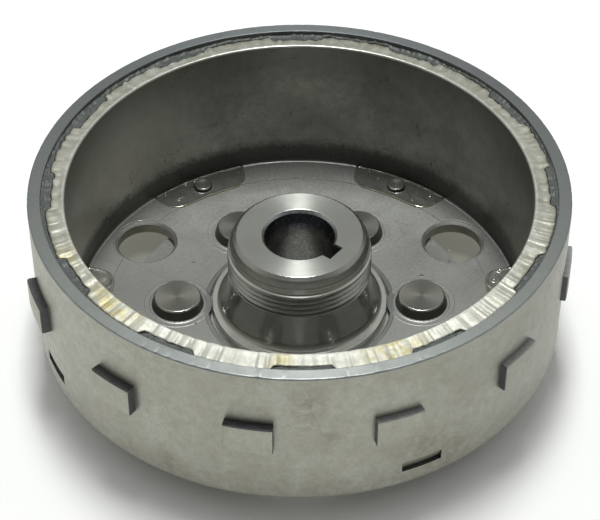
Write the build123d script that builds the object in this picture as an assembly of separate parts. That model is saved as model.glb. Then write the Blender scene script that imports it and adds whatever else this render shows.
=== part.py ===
from build123d import *
import os

# Flywheel of a small engine's alternator: a steel cup carries a riveted hub on its axis and twelve
# arc magnets inside its wall, which a thin sleeve covers and cast resin holds.
#
# Millimetres and degrees. Z is the crankshaft axis, and +Z points out of the cup's open side. The
# origin is on the axis, in the plane of the hub flange's back face, which is the lowest face.
# Profiles are (radius, height) points, turned once round Z.

# ---- Cup ----
CUP_RADIUS = 64.0        # outside of the wall, without the timing pads
WALL = 3.1
CUP_DEPTH = 38.5         # from the cup's floor to its rim
PLATE = 3.2              # thickness of the bottom plate
EDGE = 0.3               # chamfer on the rim's two edges
HEEL = 3.4               # chamfer round the plate's outer corner, below the floor's level
BREAK = 0.2              # where a sharp edge is only just broken

# ---- Hub ----
FLANGE_RADIUS = 44.0
FLANGE = 6.5             # thickness of the hub's flange, behind the plate
FLANGE_EDGE = 0.6        # chamfer on the flange's rear edge and at the bore's rear end
REGISTER_RADIUS = 22.5   # spigot that centres the hub in the plate
REGISTER_END = 1.3       # how far the spigot stops below the floor, in an open groove round the foot
LAND_RADIUS = 21.65      # foot of the hub, above the spigot
LAND_HEIGHT = 1.75       # above the floor, as are the heights that follow
FOOT_RADIUS = 20.4       # the flare runs from here up to the neck, past its waist
WAIST_RADIUS = 18.3
WAIST_HEIGHT = 5.0
NECK_RADIUS = 16.7
NECK_HEIGHT = 11.7
THREAD_RADIUS = 17.5     # M35 x 1.5, for the puller
THREAD_PITCH = 1.5
THREAD_DEPTH = 0.92
THREAD_TURNS = 4
THREAD_TOP = 18.1
SHOULDER_RADIUS = 17.0   # plain stretch above the thread's lead-in
SHOULDER_HEIGHT = 19.3
NOSE_HEIGHT = 20.9       # the nose's rounding begins here
NOSE_RADIUS = 15.3       # flat end face
NOSE_BULGE = 16.5        # the rounding's radius half-way, 1 mm below the end face
HUB_HEIGHT = 22.9
BORE_RADIUS = 8.5        # small end
BORE_LAND = 4.0          # straight length of the bore below the end face
BORE_EDGE = 0.7
BORE_TAPER = 0.1         # radius gained per millimetre towards the back: a 1:5 cone
KEYWAY_WIDTH = 5.0
KEYWAY_DEPTH = 2.7       # below the bore's wall
KEYWAY_ANGLE = -38.0

# ---- Rivets and holes ----
RIVETS = 6
RIVET_CIRCLE = 30.25     # radius of the circle of rivets
RIVET_ANGLE = 0.4
RIVET_HEAD = 5.85        # at the head's top
RIVET_BASE = 6.55        # at the floor: the head's side leans in
RIVET_HEAD_HEIGHT = 2.6
RIVET_SHANK = 4.0
RIVET_TAIL = 5.6
RIVET_TAIL_DEPTH = 1.8
RIVET_EDGE = 0.3
HOLES = 3
HOLE_CIRCLE = 45.35
HOLE_RADIUS = 7.26
HOLE_ANGLE = 30.0
HOLE_EDGE = 0.8          # countersink at the floor's side

# ---- Timing pads and stakes on the outside of the wall ----
PAD_ANGLES = [angle for angle in range(20, 380, 30) if angle != 110]   # one is left out as the mark
PAD_SPAN = 9.8
PAD_RISE = 2.2
PAD_BOTTOM = 16.6
PAD_TOP = 24.3
PAD_EDGE = 0.3
STAKES = 4
STAKE_ANGLE = 25.7
STAKE_SPAN = 9.0
STAKE_BOTTOM = 4.2
STAKE_TOP = 7.0
STAKE_DEPTH = 1.1

# ---- Sleeve, magnets, spacer and resin ----
SLEEVE_RADIUS = 55.25    # inside of the sleeve
SHEET = 0.5              # its sheet's thickness
SLEEVE_TOP = 38.0
SLEEVE_ROLL = 0.6        # radius of the rolled inner edge at its top
LIP_FALL = 0.6           # how far the top flange falls to its outer edge
NARROW_LOBE = 58.75      # radius of the top flange between its wide lobes
WIDE_LOBE = 60.15
LOBE_SPAN = 17.0
POLES = 12
FIRST_POLE = 0.8         # angle of the first magnet's middle; the wide lobes lie half-way between
LIP_RADIUS = 47.7        # inner edge of the sleeve's bottom flange
LIP_CUTOUT = 8.3         # round each hole
WINDOWS = 6
WINDOW_SPAN = 27.6
WINDOW_RADIUS = 47.0     # inner edge of each window's resin
WINDOW_CORNER = 2.4
STUD_CIRCLE = 51.0
STUD_RADIUS = 2.4
STUD_HEIGHT = 1.3
STUD_EDGE = 0.5
MAGNET_SPAN = 25.6
MAGNET_HEIGHT = 28.6
SPACER_HEIGHT = 6.6
RESIN_TOP = 36.2

# ---- Levels and radii that follow ----
FLOOR = FLANGE + PLATE
RIM = FLOOR + CUP_DEPTH
INNER_RADIUS = CUP_RADIUS - WALL
SKIN_RADIUS = SLEEVE_RADIUS + SHEET
HUB_TOP = FLOOR + HUB_HEIGHT
MAGNET_TOP = FLOOR + SPACER_HEIGHT + MAGNET_HEIGHT
OVER = 1.0               # how far a cutting tool runs past what it cuts
TURN = 360.0


def path(*profile, close=False):
    """Straight runs through (radius, height) points."""
    return Polyline(*[(r, 0, z) for r, z in profile], close=close)


def arc(*profile):
    """The arc through three (radius, height) points."""
    return ThreePointArc(*[(r, 0, z) for r, z in profile])


def turned(profile, span=TURN, middle=0.0):
    """The solid that a closed (radius, height) profile sweeps over span degrees, centred on middle."""
    face = make_face(path(*profile, close=True))
    return Rot(0, 0, middle - span / 2) * revolve(face, Axis.Z, revolution_arc=span)


def band(inner, outer, low, high, span=TURN, middle=0.0):
    """A plain ring, or a sector of one."""
    return turned([(inner, low), (outer, low), (outer, high), (inner, high)], span, middle)


def rod(radius, low, high):
    """An upright cylinder on the axis."""
    return Pos(0, 0, low) * Cylinder(radius, high - low, align=(Align.CENTER, Align.CENTER, Align.MIN))


def around(shape, circle, count, start=0.0):
    """Copies of a shape that stands on the axis, spaced evenly on a circle."""
    return [place * shape for place in PolarLocations(circle, count, start)]


def group(shapes):
    """Separate solids that share one node."""
    return Compound(children=[solid for shape in shapes for solid in shape.solids()])


def cup():
    """Drawn steel cup: bottom plate, wall, timing pads, stakes and the holes through the plate."""
    body = turned([
        (REGISTER_RADIUS, FLANGE),
        (CUP_RADIUS - HEEL, FLANGE),
        (CUP_RADIUS, FLANGE + HEEL),
        (CUP_RADIUS, RIM - EDGE),
        (CUP_RADIUS - EDGE, RIM),
        (INNER_RADIUS + EDGE, RIM),
        (INNER_RADIUS, RIM - EDGE),
        (INNER_RADIUS, FLOOR),
        (REGISTER_RADIUS + BREAK, FLOOR),
        (REGISTER_RADIUS, FLOOR - BREAK),
    ])
    pad_face = CUP_RADIUS + PAD_RISE
    pad = turned([
        (CUP_RADIUS - OVER, FLOOR + PAD_BOTTOM),
        (pad_face - PAD_EDGE, FLOOR + PAD_BOTTOM),
        (pad_face, FLOOR + PAD_BOTTOM + PAD_EDGE),
        (pad_face, FLOOR + PAD_TOP - PAD_EDGE),
        (pad_face - PAD_EDGE, FLOOR + PAD_TOP),
        (CUP_RADIUS - OVER, FLOOR + PAD_TOP),
    ], PAD_SPAN)
    body += [Rot(0, 0, angle) * pad for angle in PAD_ANGLES]
    stake = turned([
        (CUP_RADIUS - STAKE_DEPTH, FLOOR + STAKE_BOTTOM),
        (CUP_RADIUS + OVER, FLOOR + STAKE_BOTTOM),
        (CUP_RADIUS + OVER, FLOOR + STAKE_TOP),
        (CUP_RADIUS, FLOOR + STAKE_TOP),
    ], STAKE_SPAN, STAKE_ANGLE)
    body -= [Rot(0, 0, TURN * i / STAKES) * stake for i in range(STAKES)]
    hole = turned([
        (0, FLANGE - OVER),
        (HOLE_RADIUS, FLANGE - OVER),
        (HOLE_RADIUS, FLOOR - HOLE_EDGE),
        (HOLE_RADIUS + HOLE_EDGE + OVER, FLOOR + OVER),
        (0, FLOOR + OVER),
    ])
    body -= around(hole, HOLE_CIRCLE, HOLES, HOLE_ANGLE)
    body -= around(rod(RIVET_SHANK, 0, FLOOR + OVER), RIVET_CIRCLE, RIVETS, RIVET_ANGLE)
    body -= around(rod(STUD_RADIUS, 0, FLOOR + OVER), STUD_CIRCLE, WINDOWS)
    return body


def thread_profile(top):
    """Outline of the thread's ring grooves from the bottom up: 60 degree notches between flat crests."""
    crest = THREAD_PITCH / 8
    half_notch = (THREAD_PITCH - crest) / 2
    points = [(THREAD_RADIUS, top)]
    for turn in range(THREAD_TURNS):
        notch_top = top - crest - turn * THREAD_PITCH
        points += [
            (THREAD_RADIUS, notch_top),
            (THREAD_RADIUS - THREAD_DEPTH, notch_top - half_notch),
            (THREAD_RADIUS, notch_top - 2 * half_notch),
        ]
    points.append((THREAD_RADIUS, top - crest - THREAD_TURNS * THREAD_PITCH))
    return points[::-1]


def hub():
    """Turned steel hub: back flange, spigot, flared foot, puller thread, taper bore and keyway."""
    foot = FLOOR + LAND_HEIGHT
    back = path(
        (0, HUB_TOP),
        (0, 0),
        (FLANGE_RADIUS - FLANGE_EDGE, 0),
        (FLANGE_RADIUS, FLANGE_EDGE),
        (FLANGE_RADIUS, FLANGE),
        (REGISTER_RADIUS, FLANGE),
        (REGISTER_RADIUS, FLOOR - REGISTER_END),
        (LAND_RADIUS, FLOOR - REGISTER_END),
        (LAND_RADIUS, foot - BREAK),
        (LAND_RADIUS - BREAK, foot),
        (FOOT_RADIUS, foot),
    )
    neck = (NECK_RADIUS, FLOOR + NECK_HEIGHT)
    flare = arc((FOOT_RADIUS, foot), (WAIST_RADIUS, FLOOR + WAIST_HEIGHT), neck)
    thread = path(
        neck,
        *thread_profile(FLOOR + THREAD_TOP),
        (SHOULDER_RADIUS, FLOOR + SHOULDER_HEIGHT),
        (SHOULDER_RADIUS, FLOOR + NOSE_HEIGHT),
    )
    nose = arc((SHOULDER_RADIUS, FLOOR + NOSE_HEIGHT), (NOSE_BULGE, HUB_TOP - 1.0), (NOSE_RADIUS, HUB_TOP))
    end = path((NOSE_RADIUS, HUB_TOP), (0, HUB_TOP))
    blank = revolve(make_face([*back.edges(), flare, *thread.edges(), nose, end]), Axis.Z)
    land_end = HUB_TOP - BORE_LAND
    back_radius = BORE_RADIUS + BORE_TAPER * land_end
    bore = turned([
        (0, -OVER),
        (back_radius + FLANGE_EDGE + OVER, -OVER),
        (back_radius, FLANGE_EDGE),
        (BORE_RADIUS, land_end),
        (BORE_RADIUS, HUB_TOP - BORE_EDGE),
        (BORE_RADIUS + BORE_EDGE + OVER, HUB_TOP + OVER),
        (0, HUB_TOP + OVER),
    ])
    key_top = BORE_RADIUS + KEYWAY_DEPTH
    key_back = back_radius + KEYWAY_DEPTH
    key_side = make_face(Polyline(
        (0, 0, -OVER),
        (key_back + BORE_TAPER * OVER, 0, -OVER),
        (key_top, 0, land_end),
        (key_top, 0, HUB_TOP + OVER),
        (0, 0, HUB_TOP + OVER),
        close=True,
    ))
    keyway = Rot(0, 0, KEYWAY_ANGLE) * extrude(key_side, KEYWAY_WIDTH / 2, dir=(0, 1, 0), both=True)
    body = blank - bore - keyway
    flare_out = (RIVET_TAIL - RIVET_SHANK) / RIVET_TAIL_DEPTH
    tail = turned([
        (0, -OVER),
        (RIVET_TAIL + OVER * flare_out, -OVER),
        (RIVET_SHANK, RIVET_TAIL_DEPTH),
        (RIVET_SHANK, FLOOR),
        (0, FLOOR),
    ])
    return body - around(tail, RIVET_CIRCLE, RIVETS, RIVET_ANGLE)


def rivets():
    """Six headed rivets through the plate and the hub's flange, with tails sunk in its back face."""
    head_top = FLOOR + RIVET_HEAD_HEIGHT
    flare_out = (RIVET_TAIL - RIVET_SHANK) / RIVET_TAIL_DEPTH
    rivet = turned([
        (0, BREAK),
        (RIVET_TAIL - BREAK * flare_out, BREAK),
        (RIVET_SHANK, RIVET_TAIL_DEPTH),
        (RIVET_SHANK, FLOOR),
        (RIVET_BASE, FLOOR),
        (RIVET_HEAD, head_top - RIVET_EDGE),
        (RIVET_HEAD - RIVET_EDGE, head_top),
        (0, head_top),
    ])
    return group(around(rivet, RIVET_CIRCLE, RIVETS, RIVET_ANGLE))


def window(low, high, span, inner):
    """One window's outline as a solid: a sector with rounded inner corners."""
    sector = band(inner, SKIN_RADIUS + OVER, low, high, span)
    corners = sector.edges().filter_by(Axis.Z).sort_by(SortBy.DISTANCE)[:2]
    return fillet(corners, WINDOW_CORNER)


def magnet_sleeve():
    """Thin pressed sleeve over the magnets, with a lobed top flange and a windowed bottom flange."""
    top = FLOOR + SLEEVE_TOP
    rim = top - LIP_FALL
    bend = 0.3 * SLEEVE_ROLL             # two flats round the inner edge, and meet here
    wall = turned([
        (LIP_RADIUS, FLOOR),
        (SKIN_RADIUS, FLOOR),
        (SKIN_RADIUS, top - SHEET),
        (NARROW_LOBE, rim - SHEET),
        (NARROW_LOBE, rim),
        (SLEEVE_RADIUS + SLEEVE_ROLL, top),
        (SLEEVE_RADIUS + bend, top - bend),
        (SLEEVE_RADIUS, top - SLEEVE_ROLL),
        (SLEEVE_RADIUS, FLOOR + SHEET),
        (LIP_RADIUS, FLOOR + SHEET),
    ])
    lobe = band(NARROW_LOBE - SHEET, WIDE_LOBE, rim - SHEET, rim, LOBE_SPAN)
    step = TURN / POLES
    wall += [Rot(0, 0, FIRST_POLE + step * (i + 0.5)) * lobe for i in range(POLES)]
    opening = window(FLOOR - OVER, FLOOR + SHEET, WINDOW_SPAN, LIP_RADIUS - OVER)
    opening -= band(SLEEVE_RADIUS, SKIN_RADIUS + 2 * OVER, FLOOR - 2 * OVER, FLOOR + 2 * OVER)
    wall -= [Rot(0, 0, TURN * i / WINDOWS) * opening for i in range(WINDOWS)]
    wall -= around(rod(LIP_CUTOUT, FLOOR - OVER, FLOOR + SHEET + OVER), HOLE_CIRCLE, HOLES, HOLE_ANGLE)
    return wall


def window_resin():
    """Six pools of clear resin that fill the windows of the sleeve's bottom flange round the studs."""
    pool = window(FLOOR, FLOOR + SHEET, WINDOW_SPAN, LIP_RADIUS - OVER)
    pool = pool & band(WINDOW_RADIUS, SLEEVE_RADIUS, FLOOR, FLOOR + SHEET, WINDOW_SPAN)
    pool -= Pos(STUD_CIRCLE, 0, 0) * rod(STUD_RADIUS, FLOOR, FLOOR + SHEET)
    return group([Rot(0, 0, TURN * i / WINDOWS) * pool for i in range(WINDOWS)])


def studs():
    """Six short studs, pressed into the plate, that stop the sleeve from turning."""
    top = FLOOR + STUD_HEIGHT
    stud = turned([
        (0, FLANGE),
        (STUD_RADIUS, FLANGE),
        (STUD_RADIUS, top - STUD_EDGE),
        (STUD_RADIUS - STUD_EDGE, top),
        (0, top),
    ])
    return group(around(stud, STUD_CIRCLE, WINDOWS))


def spacer():
    """Ring between the cup's floor and the magnets."""
    return band(SKIN_RADIUS, INNER_RADIUS, FLOOR, FLOOR + SPACER_HEIGHT)


def magnet(number):
    """One arc magnet; the twelve differ only in their place."""
    middle = FIRST_POLE + TURN / POLES * (number - 1)
    return band(SKIN_RADIUS, INNER_RADIUS, FLOOR + SPACER_HEIGHT, MAGNET_TOP, MAGNET_SPAN, middle)


def potting():
    """Resin cast between the magnets and over them, below the sleeve's top flange."""
    step = TURN / POLES
    cast = band(SKIN_RADIUS, INNER_RADIUS, MAGNET_TOP, FLOOR + RESIN_TOP)
    bar = band(SKIN_RADIUS, INNER_RADIUS, FLOOR + SPACER_HEIGHT, MAGNET_TOP, step - MAGNET_SPAN)
    return cast + [Rot(0, 0, FIRST_POLE + step * (i + 0.5)) * bar for i in range(POLES)]


pieces = {
    "yoke_cup": cup(),
    "hub": hub(),
    "hub_rivets": rivets(),
    "magnet_sleeve": magnet_sleeve(),
    "window_resin": window_resin(),
    "locating_studs": studs(),
    "magnet_spacer_ring": spacer(),
    "potting_resin": potting(),
}
for number in range(1, POLES + 1):
    pieces[f"magnet_{number:02d}"] = magnet(number)

os.makedirs("parts", exist_ok=True)
for name, shape in pieces.items():
    export_step(shape, f"parts/{name}.step")
print(len(pieces), "nodes")
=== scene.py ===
from math import cos, dist, hypot, pi, radians, sin, tan

import bmesh
import bpy
import numpy as np
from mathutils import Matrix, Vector


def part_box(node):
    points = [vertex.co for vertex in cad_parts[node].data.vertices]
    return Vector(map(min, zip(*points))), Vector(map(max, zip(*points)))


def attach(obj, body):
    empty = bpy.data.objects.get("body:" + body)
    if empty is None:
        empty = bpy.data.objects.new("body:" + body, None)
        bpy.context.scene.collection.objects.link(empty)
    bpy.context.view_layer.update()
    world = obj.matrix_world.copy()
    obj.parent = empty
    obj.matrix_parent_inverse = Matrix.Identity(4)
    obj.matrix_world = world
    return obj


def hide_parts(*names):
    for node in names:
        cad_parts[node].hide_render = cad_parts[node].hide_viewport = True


# An alternator flywheel, open side up. Lengths are millimetres and angles degrees, both counted
# anticlockwise from +X, until the points of a mesh are written in metres.

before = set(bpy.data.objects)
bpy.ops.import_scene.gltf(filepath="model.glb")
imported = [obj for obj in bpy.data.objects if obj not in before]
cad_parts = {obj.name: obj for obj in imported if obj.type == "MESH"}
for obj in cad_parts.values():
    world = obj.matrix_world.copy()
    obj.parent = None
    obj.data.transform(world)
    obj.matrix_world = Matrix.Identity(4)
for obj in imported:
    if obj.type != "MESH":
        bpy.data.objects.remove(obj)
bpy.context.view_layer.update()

MM = 0.001
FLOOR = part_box("magnet_spacer_ring")[0].z / MM      # the cup's floor
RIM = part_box("yoke_cup")[1].z / MM
FLANGE_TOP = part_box("yoke_cup")[0].z / MM           # where the hub's flange meets the plate
FLANGE_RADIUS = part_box("hub")[1].x / MM
HUB_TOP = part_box("hub")[1].z / MM
RIVET_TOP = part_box("hub_rivets")[1].z / MM
STUD_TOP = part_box("locating_studs")[1].z / MM
SLEEVE_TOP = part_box("magnet_sleeve")[1].z / MM
RESIN_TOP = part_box("potting_resin")[1].z / MM
POTTING_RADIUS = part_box("potting_resin")[1].x / MM  # inside of the cup's wall
PAD_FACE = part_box("yoke_cup")[1].x / MM / cos(radians(5.1))

CUP_RADIUS = 64.0
REGISTER_RADIUS = 22.5
RING_RADIUS = 23.7      # outer edge of the bright ring turned round the spigot
LAND_RADIUS = 21.65
FOOT_RADIUS = 20.4
FOOT = FLOOR + 1.75     # top of the land, where the hub's flare starts
NECK_RADIUS = 17.0
BORE_RADIUS = 8.5       # at the small end
BORE_REAR = 11.3
KEY_WIDTH = 5.0
KEY_DEPTH = 2.7
KEY_ANGLE = -38
THREAD_RADIUS = 17.5
THREAD_PITCH = 1.5
THREAD_BOTTOM = FLOOR + 12.0
THREAD_TOP = FLOOR + 18.0
RELIEF_RADIUS = 16.85   # groove between the thread and the nose
PAD_BOTTOM = FLOOR + 16.6
PAD_TOP = FLOOR + 24.3
PAD_HALF = 4.9          # half of a pad's angle
PAD_INSET = {290: 0.5, 320: 0.5, 350: 0.9}          # how much less proud some pads stand, by angle
STAKE_BOTTOM = FLOOR + 4.2
STAKE_TOP = FLOOR + 7.1
STAKE_ANGLE = 25.7
STAKE_HALF = 4.5
SHEET = 0.5
FOOT_SHEET = 0.2        # the bottom flange is drawn thinner
SLEEVE_RADIUS = 55.25
ROLL = 0.5              # radius of the sleeve's rolled edge
LIP_RADIUS = 47.7       # inner edge of the bottom flange
VALLEY_RADIUS = 58.7    # outer edge of the top flange between its lobes
LOBE_HEIGHT = 1.4
CREASES = 104           # round the top flange
HOLE_CIRCLE = 45.35
HOLE_RADIUS = 7.26
FLANGE_HOLE = 8.3       # the bottom flange's notch round a hole
HOLE_ANGLE = 30
RIVET_CIRCLE = 30.25
RIVET_ANGLE = 0.4
RIVET_HEAD = 5.85
RIVET_BASE = 6.55
SHANK_RADIUS = 4.0
STUD_CIRCLE = 51.0
STUD_RADIUS = 2.4
POLES = 12
FIRST_POLE = 0.8

chance = np.random.default_rng(7)


# ---- shapes

def eased(corners, steps=5):
    """A closed outline through corners (radius, height, rounding), with the rounded ones as arcs."""
    outline = []
    for i, (r, z, rounding) in enumerate(corners):
        here = Vector((r, z))
        back = Vector(corners[i - 1][:2]) - here
        ahead = Vector(corners[(i + 1) % len(corners)][:2]) - here
        if not rounding:
            outline.append((r, z))
            continue
        half = back.angle(ahead) / 2
        reach = min(rounding / tan(half), 0.49 * back.length, 0.49 * ahead.length)
        start = here + back.normalized() * reach
        end = here + ahead.normalized() * reach
        bisector = (back.normalized() + ahead.normalized()).normalized()
        centre = here + bisector * (reach / cos(half))
        for k in range(steps + 1):
            arm = (start - centre).lerp(end - centre, k / steps).normalized()
            outline.append(tuple(centre + arm * (start - centre).length))
    return outline


def between(start, end, steps):
    """Points on the straight from start to end, without its end."""
    return [tuple(Vector(start).lerp(Vector(end), k / steps)) for k in range(steps)]


def piece(name, verts, faces, slot=None, replaces=(), sharp=32):
    """A mesh object from points in millimetres. Without a slot it still has to be finished."""
    mesh = bpy.data.meshes.new(name)
    mesh.from_pydata(np.asarray(verts) * MM, [], faces)
    mesh.update()
    thing = bpy.data.objects.new(name, mesh)
    bpy.context.scene.collection.objects.link(thing)
    weld(thing)
    finish_piece(thing, slot, replaces, sharp)
    return thing


def finish_piece(thing, slot, replaces, sharp):
    """Shading, with level faces flat, and what the piece stands for."""
    thing.data.shade_smooth()
    thing.data.set_sharp_from_angle(angle=radians(sharp))
    for face in thing.data.polygons:
        if abs(face.normal.z) > 0.99999:
            face.use_smooth = False
    if slot:
        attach(thing, "root")
        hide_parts(*replaces)


def dress(thing, materials, choose):
    """Gives each face the material whose name choose(centre in mm, radius, normal) says."""
    thing.data.materials.clear()
    for material in materials.values():
        thing.data.materials.append(material)
    names = list(materials)
    for face in thing.data.polygons:
        centre = face.center / MM
        face.material_index = names.index(choose(centre, hypot(centre.x, centre.y), face.normal))


def weld(thing):
    """Joins points that lie together, drops faces without area, and turns the faces outwards."""
    bm = bmesh.new()
    bm.from_mesh(thing.data)
    bmesh.ops.remove_doubles(bm, verts=bm.verts, dist=0.002 * MM)
    bmesh.ops.dissolve_degenerate(bm, edges=bm.edges, dist=0.0005 * MM)
    bmesh.ops.recalc_face_normals(bm, faces=bm.faces)
    bm.to_mesh(thing.data)
    bm.free()


def spun(radii, heights, angles, closed=True):
    """Points and faces of a grid with one row per angle; each row is a closed outline.
    A grid that doesn't close on itself gets a flat end at its first and last row."""
    rows, columns = radii.shape
    turn = np.radians(angles)[:, None]
    verts = np.stack([radii * np.cos(turn), radii * np.sin(turn), heights], -1).reshape(-1, 3)
    i, j = np.meshgrid(np.arange(rows if closed else rows - 1), np.arange(columns), indexing="ij")
    i, j = i.ravel(), j.ravel()
    ahead, beside = (i + 1) % rows, (j + 1) % columns
    faces = np.stack([i * columns + j, ahead * columns + j,
                      ahead * columns + beside, i * columns + beside], -1).tolist()
    if not closed:
        faces.append(list(range(columns)))
        faces.append(list(range((rows - 1) * columns, rows * columns))[::-1])
    return verts, faces


def repeated(outline, count):
    """An outline's radii and its heights, repeated for the rows of a grid."""
    return tuple(np.tile(values, (count, 1)) for values in np.array(outline).T)


def lathe(outline, steps, centre=(0, 0), start=0.0):
    """Points and faces of an outline turned once round an upright axis."""
    angles = start + np.arange(steps) * 360 / steps
    verts, faces = spun(*repeated(outline, steps), angles)
    verts[:, :2] += centre
    return verts, faces


def rod(radius, low, high, steps, centre):
    """Points and faces of a plain upright rod."""
    return lathe([(0, low), (radius, low), (radius, high), (0, high)], steps, centre)


def merged(parts):
    """Several (points, faces) as one."""
    verts, faces, offset = [], [], 0
    for points, sides in parts:
        verts.append(np.asarray(points))
        faces += [[k + offset for k in side] for side in sides]
        offset += len(points)
    return np.concatenate(verts), faces


def turned_about(points, angle):
    """Points turned about the flywheel's axis."""
    c, s = cos(radians(angle)), sin(radians(angle))
    x, y, z = np.asarray(points).T
    return np.stack([c * x - s * y, s * x + c * y, z], -1)


def on_circle(radius, angle):
    """The plan point at a distance and angle from the axis."""
    return radius * cos(radians(angle)), radius * sin(radians(angle))


def rivet_place(k):
    return on_circle(RIVET_CIRCLE, RIVET_ANGLE + 60 * k)


def stud_place(k):
    return on_circle(STUD_CIRCLE, 60 * k)


def hole_place(k):
    return on_circle(HOLE_CIRCLE, HOLE_ANGLE + 120 * k)


def combine(thing, parts, operation):
    """Cuts the parts' shape out of thing, or joins it on."""
    other = piece("tool", *merged(parts))
    modifier = thing.modifiers.new("combine", "BOOLEAN")
    modifier.object = other
    modifier.operation = operation
    modifier.solver = "MANIFOLD"
    graph = bpy.context.evaluated_depsgraph_get()
    result = bpy.data.meshes.new_from_object(thing.evaluated_get(graph))
    thing.modifiers.clear()
    old = thing.data
    thing.data = result
    result.name = thing.name
    bpy.data.meshes.remove(old)
    bpy.data.objects.remove(other)


def ripple(angles, lowest, highest, count):
    """Smooth noise round the circle, about -1 to 1, from waves between two counts per turn."""
    turn = np.radians(angles)
    total = np.zeros_like(turn)
    for number in chance.integers(lowest, highest + 1, count):
        total += np.cos(number * turn + chance.uniform(0, 2 * pi))
    return total / (count / 2) ** 0.5 / 1.6


def step_up(low, high, x):
    """0 at low to 1 at high, eased at both ends; low may be the larger."""
    t = np.clip((x - low) / (high - low), 0, 1)
    return t * t * (3 - 2 * t)


# ---- surfaces

class Surface:
    """A Principled material, and short names for the nodes that feed it."""

    def __init__(self, name, **values):
        self.material = bpy.data.materials.new(name)
        self.material.use_nodes = True
        self.tree = self.material.node_tree
        self.shader = self.tree.nodes["Principled BSDF"]
        for socket, value in values.items():
            self.put(socket.replace("_", " "), value)
        self.place = self.node("ShaderNodeTexCoord").outputs["Object"]

    def put(self, socket, value):
        """Gives a socket of the shader a value or another node's output."""
        self.feed(self.shader.inputs[socket], value)

    def feed(self, socket, value):
        if isinstance(value, bpy.types.NodeSocket):
            self.tree.links.new(value, socket)
        elif isinstance(value, tuple) and len(value) == 3 and socket.type == "RGBA":
            socket.default_value = (*value, 1)
        else:
            socket.default_value = value

    def node(self, kind, inputs=None, **settings):
        made = self.tree.nodes.new(kind)
        for key, value in settings.items():
            setattr(made, key, value)
        for key, value in (inputs or {}).items():
            self.feed(made.inputs[key], value)
        return made

    def calc(self, operation, *values):
        return self.node("ShaderNodeMath", dict(enumerate(values)), operation=operation).outputs[0]

    def blend(self, share, first, second):
        """The first colour at share 0, the second at 1."""
        made = self.node("ShaderNodeMix", data_type="RGBA")
        self.feed(made.inputs["Factor"], share)
        self.feed(made.inputs[6], first)
        self.feed(made.inputs[7], second)
        return made.outputs[2]

    def span(self, value, low, high, to_low=0.0, to_high=1.0):
        """A value's range mapped onto another, and held at its ends."""
        made = self.node("ShaderNodeMapRange", {"Value": value, "From Min": low, "From Max": high,
                                                "To Min": to_low, "To Max": to_high})
        return made.outputs[0]

    def noise(self, size, detail=3.0, rough=0.5, place=None, warp=0.0):
        """Noise whose lumps are about size mm across."""
        made = self.node("ShaderNodeTexNoise", {
            "Vector": place or self.place, "Scale": 1 / (size * MM), "Detail": detail,
            "Roughness": rough, "Distortion": warp})
        return made.outputs["Fac"]

    def part(self, vector, axis):
        """One number of a vector; axis is 0, 1 or 2."""
        return self.node("ShaderNodeSeparateXYZ", {0: vector}).outputs[axis]

    def join(self, x, y, z):
        return self.node("ShaderNodeCombineXYZ", {0: x, 1: y, 2: z}).outputs[0]

    def vector(self, operation, *values):
        """Outputs of a vector operation: some give a vector, others a number under "Value"."""
        return self.node("ShaderNodeVectorMath", dict(enumerate(values)), operation=operation).outputs

    def flat(self):
        """The place without its height."""
        return self.join(self.part(self.place, 0), self.part(self.place, 1), 0.0)

    def radius(self):
        """Distance from the axis, in metres."""
        return self.vector("LENGTH", self.flat())["Value"]

    def height(self):
        return self.part(self.place, 2)

    def heading(self):
        """Direction from the axis, of length 1."""
        return self.vector("NORMALIZE", self.flat())[0]

    def distance(self, vector, point):
        return self.vector("DISTANCE", vector, point)["Value"]

    def bump(self, height, depth, before=None):
        """Relief whose full range is depth mm."""
        made = self.node("ShaderNodeBump", {"Height": height, "Distance": depth * MM, "Strength": 1.0})
        if before:
            self.feed(made.inputs["Normal"], before)
        return made.outputs[0]

    def done(self, colour, rough, relief):
        """The material, with its last three sockets filled."""
        self.put("Base Color", colour)
        self.put("Roughness", rough)
        self.put("Normal", relief)
        return self.material

    def turned(self, amount, rotation=0.25):
        """Fine rings round the axis spread the gloss across them."""
        self.put("Anisotropic", amount)
        self.put("Anisotropic Rotation", rotation)
        self.put("Tangent", self.node("ShaderNodeTangent", direction_type="RADIAL", axis="Z").outputs[0])


STAIN_STRETCH = 12.0    # height per metre, beside a heading of length 1
WALL_STAINS = (         # angle, height in mm, reach and strength
    (272, 40, 0.07, 0.6), (276, 30, 0.05, 0.4), (243, 14, 0.05, 0.5),
    (296, 19, 0.09, 0.6), (306, 30, 0.07, 0.3), (303, 15, 0.08, 0.6),
)
LIP_STAINS = ((224, 12, 1.0), (291, 10, 1.0), (266, 4, 0.9), (205, 6, 0.6))   # angle, reach and strength


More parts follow.
